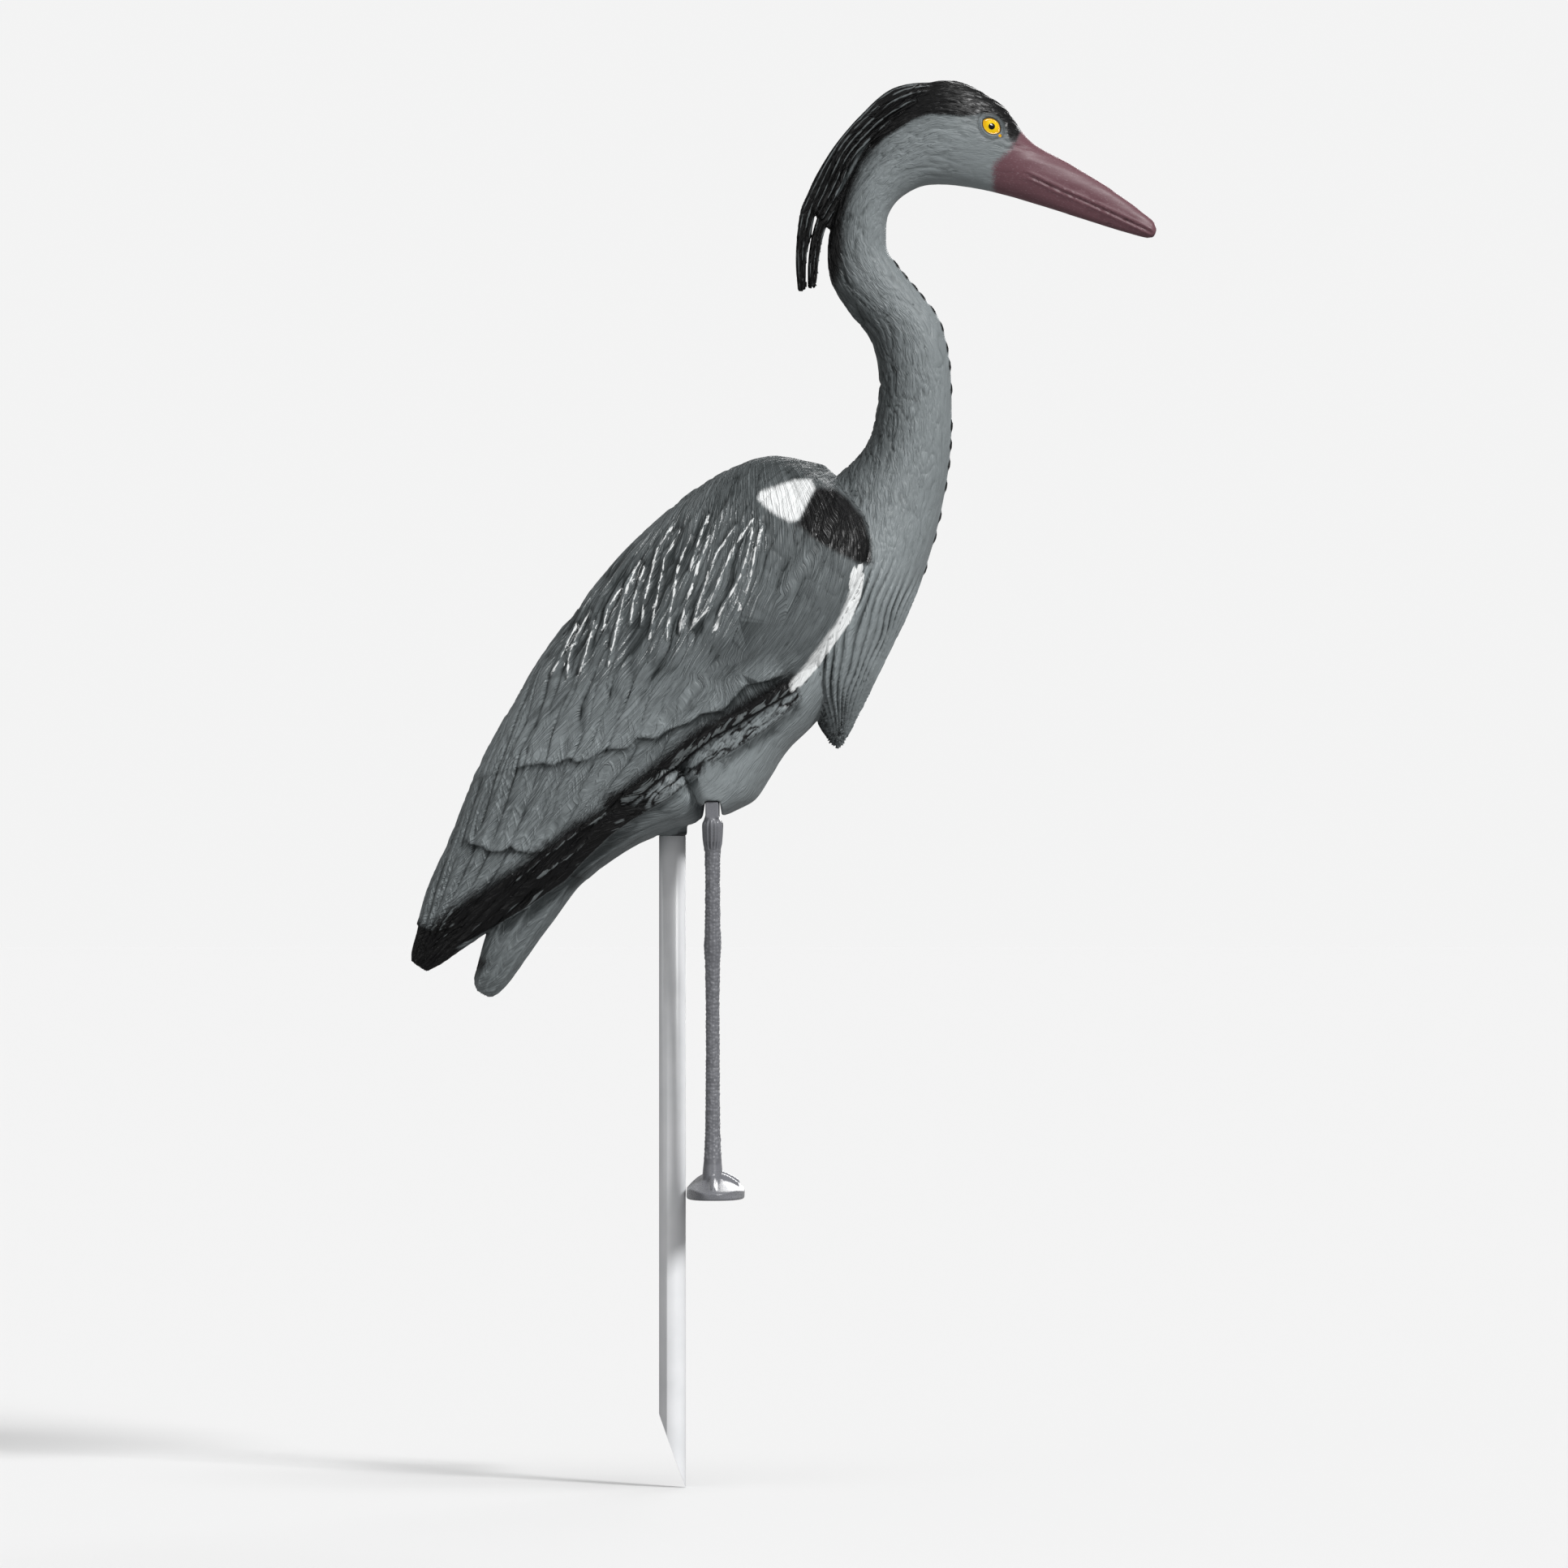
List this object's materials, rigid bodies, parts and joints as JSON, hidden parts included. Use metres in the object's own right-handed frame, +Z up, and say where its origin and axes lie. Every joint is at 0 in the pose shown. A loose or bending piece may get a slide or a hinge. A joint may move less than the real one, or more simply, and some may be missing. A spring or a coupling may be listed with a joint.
{
  "type": "heron decoy",
  "caption": "Life-size moulded heron decoy on a leg stand, with a crested head, long bill, folded wings and a tube stake that holds it in the ground.",
  "frame": {"origin": "on the stake's axis at ground level, where the stake enters the soil and level with the underside of the leg stand's base", "axes": "+X is the way the bill points, +Y is the heron's left side, +Z is up along the stake; the body is symmetric about the plane y = 0"},
  "size_m": [0.5572, 0.172, 1.0515],
  "materials": {
    "heron_body": "semi-gloss blue-grey blow-moulded plastic with moulded feathers; painted black crest and flight feathers, white touches on the wings, mauve bill and yellow eyes",
    "leg_stand": "glossy dark grey injection-moulded plastic with moulded scales",
    "ground_stake": "smooth white extruded tube"
  },
  "bodies": {
    "root": {"heron_body": "heron_body", "leg_stand": "leg_stand", "ground_stake": "ground_stake"}
  },
  "joints": []
}
